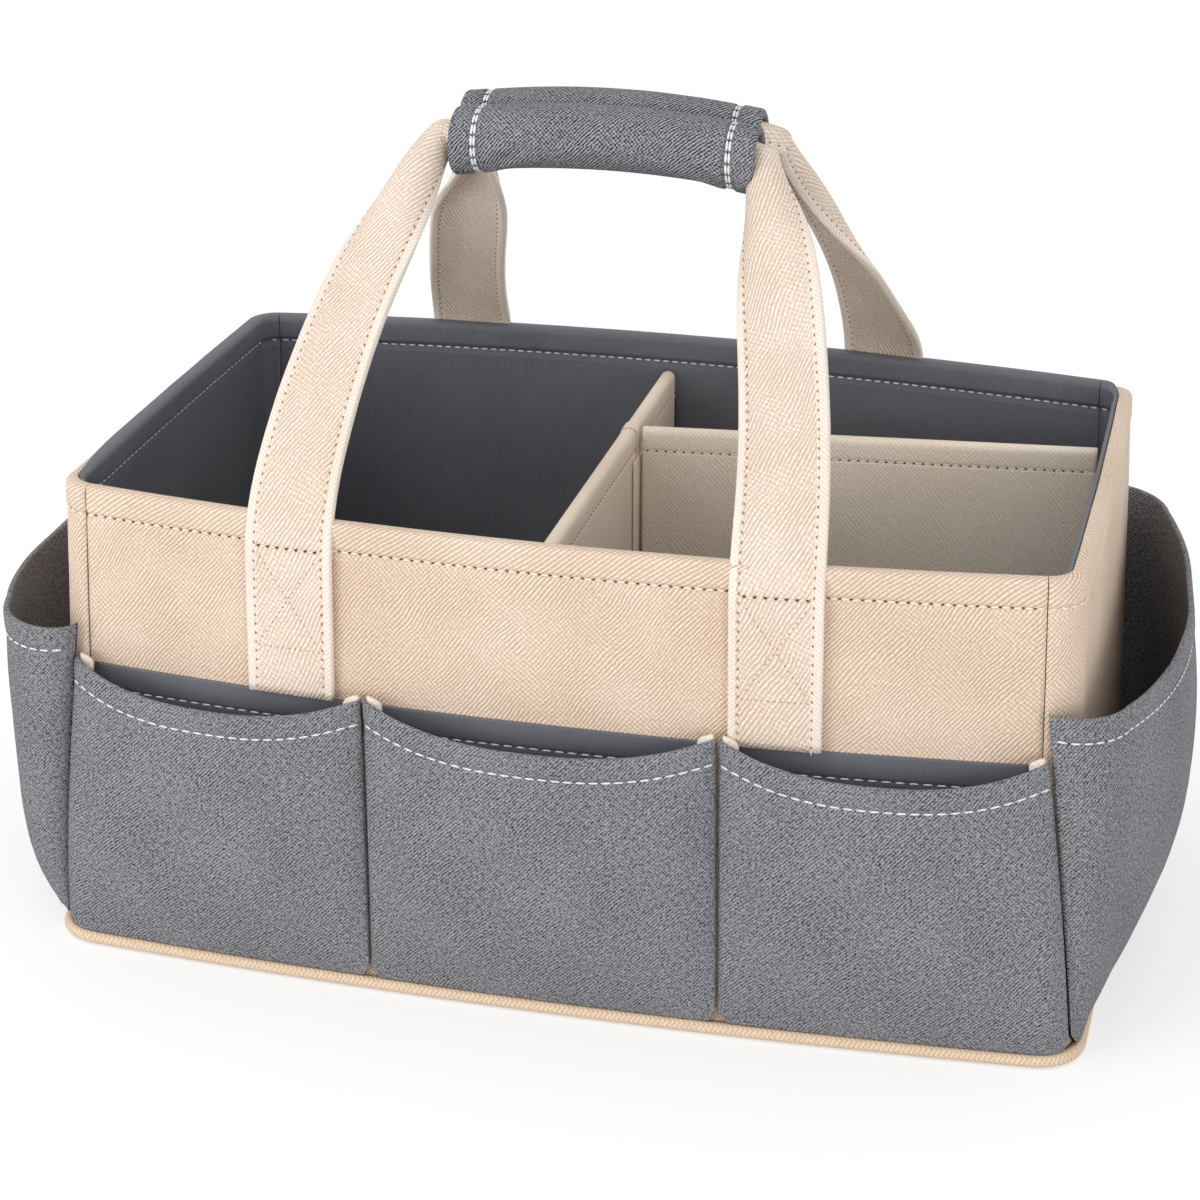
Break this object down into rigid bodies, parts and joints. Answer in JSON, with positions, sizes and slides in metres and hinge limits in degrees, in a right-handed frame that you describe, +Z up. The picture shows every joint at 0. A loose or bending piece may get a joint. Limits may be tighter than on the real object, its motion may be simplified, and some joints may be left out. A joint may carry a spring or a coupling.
{
  "type": "diaper caddy",
  "caption": "Open fabric caddy with padded flared walls, scooped outer pockets, strap handles with padded grips, and lift-out dividers.",
  "frame": {"origin": "centre of the underside of the base, on the floor", "axes": "+X along the long side, towards the end with the short divider; -Y is the front long wall; +Z up"},
  "size_m": [0.4474, 0.2682, 0.3148],
  "materials": {
    "leatherette": "tan cross-hatched leatherette, satin",
    "strap_leatherette": "tan ribbed leatherette, satin",
    "piping": "tan piping",
    "canvas": "heathered grey woven canvas",
    "lining": "dark grey matt lining",
    "board": "foam board, hidden",
    "tape": "hook tape"
  },
  "bodies": {
    "body": {"front_cover": "leatherette", "front_lining": "lining", "front_board": "board", "right_end_cover": "leatherette", "right_end_lining": "lining", "right_end_board": "board", "back_cover": "leatherette", "back_lining": "lining", "back_board": "board", "left_end_cover": "leatherette", "left_end_lining": "lining", "left_end_board": "board", "base_panel": "leatherette", "base_board": "board", "floor_lining": "lining", "base_piping": "piping", "front_pocket_left": "canvas", "front_backing_left": "lining", "front_gusset_left_a": "leatherette", "front_gusset_left_b": "leatherette", "front_pocket_middle": "canvas", "front_backing_middle": "lining", "front_gusset_middle_a": "leatherette", "front_gusset_middle_b": "leatherette", "front_pocket_right": "canvas", "front_backing_right": "lining", "front_gusset_right_a": "leatherette", "front_gusset_right_b": "leatherette", "front_strap_patch_left": "strap_leatherette", "front_strap_patch_right": "strap_leatherette", "back_pocket_left": "canvas", "back_backing_left": "lining", "back_gusset_left_a": "leatherette", "back_gusset_left_b": "leatherette", "back_pocket_middle": "canvas", "back_backing_middle": "lining", "back_gusset_middle_a": "leatherette", "back_gusset_middle_b": "leatherette", "back_pocket_right": "canvas", "back_backing_right": "lining", "back_gusset_right_a": "leatherette", "back_gusset_right_b": "leatherette", "back_strap_patch_left": "strap_leatherette", "back_strap_patch_right": "strap_leatherette", "right_end_pocket": "canvas", "left_end_pocket": "canvas"},
    "front_handle": {"front_handle_strap": "strap_leatherette", "front_handle_grip": "canvas"},
    "back_handle": {"back_handle_strap": "strap_leatherette", "back_handle_grip": "canvas"},
    "long_divider": {"long_divider_cover": "leatherette", "long_divider_board": "board", "long_divider_tape_front": "tape", "long_divider_tape_back": "tape", "divider_hinge_tape": "leatherette"},
    "short_divider": {"short_divider_cover": "leatherette", "short_divider_board": "board", "short_divider_tape": "tape"}
  },
  "joints": [
    {"name": "front_handle_swing", "type": "hinge", "parent": "body", "child": "front_handle", "pos_m": [0, -0.12, 0.17], "axis": [1, 0, 0], "range_deg": [0, 170]},
    {"name": "back_handle_swing", "type": "hinge", "parent": "body", "child": "back_handle", "pos_m": [0, 0.12, 0.17], "axis": [-1, 0, 0], "range_deg": [0, 170]},
    {"name": "divider_lift", "type": "slide", "parent": "body", "child": "long_divider", "axis": [0, 0, 1], "range_m": [0, 0.06]},
    {"name": "short_divider_swing", "type": "hinge", "parent": "long_divider", "child": "short_divider", "pos_m": [-0.0009, 0.042, 0.09], "axis": [0, 0, 1], "range_deg": [-20, 8]}
  ]
}
